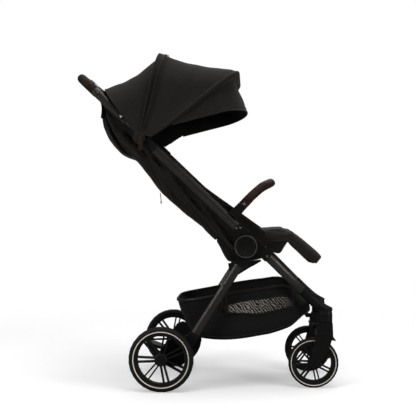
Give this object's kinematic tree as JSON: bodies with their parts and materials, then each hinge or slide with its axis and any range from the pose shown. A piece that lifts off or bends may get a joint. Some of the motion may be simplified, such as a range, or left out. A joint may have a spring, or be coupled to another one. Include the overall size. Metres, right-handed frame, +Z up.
{
  "type": "compact stroller",
  "caption": "Compact folding stroller with a telescoping handle, turning canopy, guard bar, reclining seat, cloth basket, swivelling front wheels and spoked wheels.",
  "frame": {"origin": "on the floor under the middle of the overall box", "axes": "+X forward, +Y to the child's left, +Z up"},
  "size_m": [0.8644, 0.52, 1.1057],
  "materials": {
    "satin_black_metal": "satin",
    "grey_metal": "satin",
    "black_plastic": "matt",
    "brown_leather": "matt",
    "black_fabric": "woven",
    "foam_tyre": "matt",
    "bare_metal": "satin"
  },
  "bodies": {
    "push_frame": {"upper_tube_left": "satin_black_metal", "upper_tube_right": "satin_black_metal", "push_socket_left": "black_plastic", "push_socket_right": "black_plastic", "hub_cap_left": "black_plastic", "hub_cap_right": "black_plastic", "canopy_mount_left": "black_plastic", "canopy_mount_right": "black_plastic", "guard_socket_left": "black_plastic", "guard_socket_right": "black_plastic", "canopy_rear": "black_fabric", "canopy_flap": "black_fabric", "zip_pull": "brown_leather"},
    "front_frame": {"front_socket_left": "black_plastic", "front_socket_right": "black_plastic", "front_leg_left": "satin_black_metal", "front_leg_right": "satin_black_metal", "front_boot_left": "black_plastic", "front_boot_right": "black_plastic", "front_crossbar": "satin_black_metal", "seat_frame": "satin_black_metal", "seat_pad": "black_fabric", "crotch_strap": "black_fabric", "harness_buckle": "black_plastic", "basket": "black_fabric"},
    "rear_frame": {"rear_socket_left": "black_plastic", "rear_socket_right": "black_plastic", "rear_leg_left": "satin_black_metal", "rear_leg_right": "satin_black_metal", "axle_housing_left": "black_plastic", "axle_housing_right": "black_plastic", "rear_axle_tube": "satin_black_metal"},
    "handle": {"handle_frame": "grey_metal", "handle_grip_left": "brown_leather", "handle_grip_right": "brown_leather"},
    "fold_trigger": {"fold_trigger": "black_plastic"},
    "canopy_front": {"canopy_front": "black_fabric"},
    "backrest": {"backrest": "black_fabric", "shoulder_strap_left": "black_fabric", "shoulder_strap_right": "black_fabric"},
    "calf_rest": {"calf_rest": "black_fabric"},
    "guard_bar": {"guard_bar": "brown_leather"},
    "brake_pedal": {"brake_pedal": "black_plastic"},
    "buckle_button": {"buckle_button": "black_plastic"},
    "rear_wheel_left": {"rear_rim_left": "black_plastic", "rear_tyre_left": "foam_tyre"},
    "caster_left": {"caster_fork_left": "black_plastic"},
    "swivel_lever_left": {"swivel_lever_left": "black_plastic"},
    "front_wheel_left": {"front_rim_left": "black_plastic", "front_tyre_left": "foam_tyre"},
    "height_button_left": {"height_button_left": "bare_metal"},
    "guard_button_left": {"guard_button_left": "bare_metal"},
    "rear_wheel_right": {"rear_rim_right": "black_plastic", "rear_tyre_right": "foam_tyre"},
    "caster_right": {"caster_fork_right": "black_plastic"},
    "swivel_lever_right": {"swivel_lever_right": "black_plastic"},
    "front_wheel_right": {"front_rim_right": "black_plastic", "front_tyre_right": "foam_tyre"},
    "height_button_right": {"height_button_right": "bare_metal"},
    "guard_button_right": {"guard_button_right": "bare_metal"}
  },
  "joints": [
    {"name": "fold", "type": "hinge", "parent": "push_frame", "child": "front_frame", "pos_m": [0.1268, 0, 0.47], "axis": [0, 1, 0], "range_deg": [0, 102], "deforming": ["basket"]},
    {"name": "rear_fold", "type": "hinge", "parent": "push_frame", "child": "rear_frame", "pos_m": [0.1268, 0, 0.47], "axis": [0, 1, 0], "range_deg": [0, 66]},
    {"name": "handle_height", "type": "slide", "parent": "push_frame", "child": "handle", "axis": [0.723, 0, -0.6909], "range_m": [0, 0.045]},
    {"name": "fold_trigger_pull", "type": "slide", "parent": "handle", "child": "fold_trigger", "axis": [-0.723, 0, 0.6909], "range_m": [0, 0.005], "stiffness_N_per_m": 400},
    {"name": "canopy_turn", "type": "hinge", "parent": "push_frame", "child": "canopy_front", "pos_m": [-0.2192, 0, 0.822], "axis": [0, -1, 0], "range_deg": [0, 45]},
    {"name": "recline", "type": "hinge", "parent": "push_frame", "child": "backrest", "pos_m": [0.0428, 0, 0.492], "axis": [0, 1, 0], "range_deg": [0, 20]},
    {"name": "calf_lift", "type": "hinge", "parent": "front_frame", "child": "calf_rest", "pos_m": [0.2768, 0, 0.494], "axis": [0, -1, 0], "range_deg": [0, 40]},
    {"name": "guard_release", "type": "slide", "parent": "push_frame", "child": "guard_bar", "axis": [0.6909, 0, 0.723], "range_m": [0, 0.034]},
    {"name": "brake_press", "type": "hinge", "parent": "rear_frame", "child": "brake_pedal", "pos_m": [-0.1472, 0, 0.105], "axis": [0, -1, 0], "range_deg": [0, 18]},
    {"name": "buckle_press", "type": "slide", "parent": "front_frame", "child": "buckle_button", "axis": [-1, 0, 0], "range_m": [0, 0.0025], "stiffness_N_per_m": 400},
    {"name": "rear_wheel_spin_left", "type": "hinge", "parent": "rear_frame", "child": "rear_wheel_left", "pos_m": [-0.1472, 0.2425, 0.105], "axis": [0, 1, 0], "continuous": true},
    {"name": "caster_swivel_left", "type": "hinge", "parent": "front_frame", "child": "caster_left", "pos_m": [0.3888, 0.148, 0.23], "axis": [0, 0, 1], "continuous": true},
    {"name": "swivel_lock_left", "type": "hinge", "parent": "caster_left", "child": "swivel_lever_left", "pos_m": [0.3493, 0.148, 0.2035], "axis": [0, -1, 0], "range_deg": [0, 15]},
    {"name": "front_wheel_spin_left", "type": "hinge", "parent": "caster_left", "child": "front_wheel_left", "pos_m": [0.3498, 0.148, 0.0824], "axis": [0, 1, 0], "continuous": true},
    {"name": "height_press_left", "type": "slide", "parent": "handle", "child": "height_button_left", "axis": [0, -1, 0], "range_m": [0, 0.0025], "stiffness_N_per_m": 400},
    {"name": "guard_press_left", "type": "slide", "parent": "guard_bar", "child": "guard_button_left", "axis": [0, -1, 0], "range_m": [0, 0.0022], "stiffness_N_per_m": 400},
    {"name": "rear_wheel_spin_right", "type": "hinge", "parent": "rear_frame", "child": "rear_wheel_right", "pos_m": [-0.1472, -0.2425, 0.105], "axis": [0, 1, 0], "continuous": true},
    {"name": "caster_swivel_right", "type": "hinge", "parent": "front_frame", "child": "caster_right", "pos_m": [0.3888, -0.148, 0.23], "axis": [0, 0, 1], "continuous": true},
    {"name": "swivel_lock_right", "type": "hinge", "parent": "caster_right", "child": "swivel_lever_right", "pos_m": [0.3493, -0.148, 0.2035], "axis": [0, -1, 0], "range_deg": [0, 15]},
    {"name": "front_wheel_spin_right", "type": "hinge", "parent": "caster_right", "child": "front_wheel_right", "pos_m": [0.3498, -0.148, 0.0824], "axis": [0, 1, 0], "continuous": true},
    {"name": "height_press_right", "type": "slide", "parent": "handle", "child": "height_button_right", "axis": [0, 1, 0], "range_m": [0, 0.0025], "stiffness_N_per_m": 400},
    {"name": "guard_press_right", "type": "slide", "parent": "guard_bar", "child": "guard_button_right", "axis": [0, 1, 0], "range_m": [0, 0.0022], "stiffness_N_per_m": 400}
  ],
  "couplings": [
    {"joint": "rear_fold", "follows": "fold", "ratio": 0.64}
  ]
}
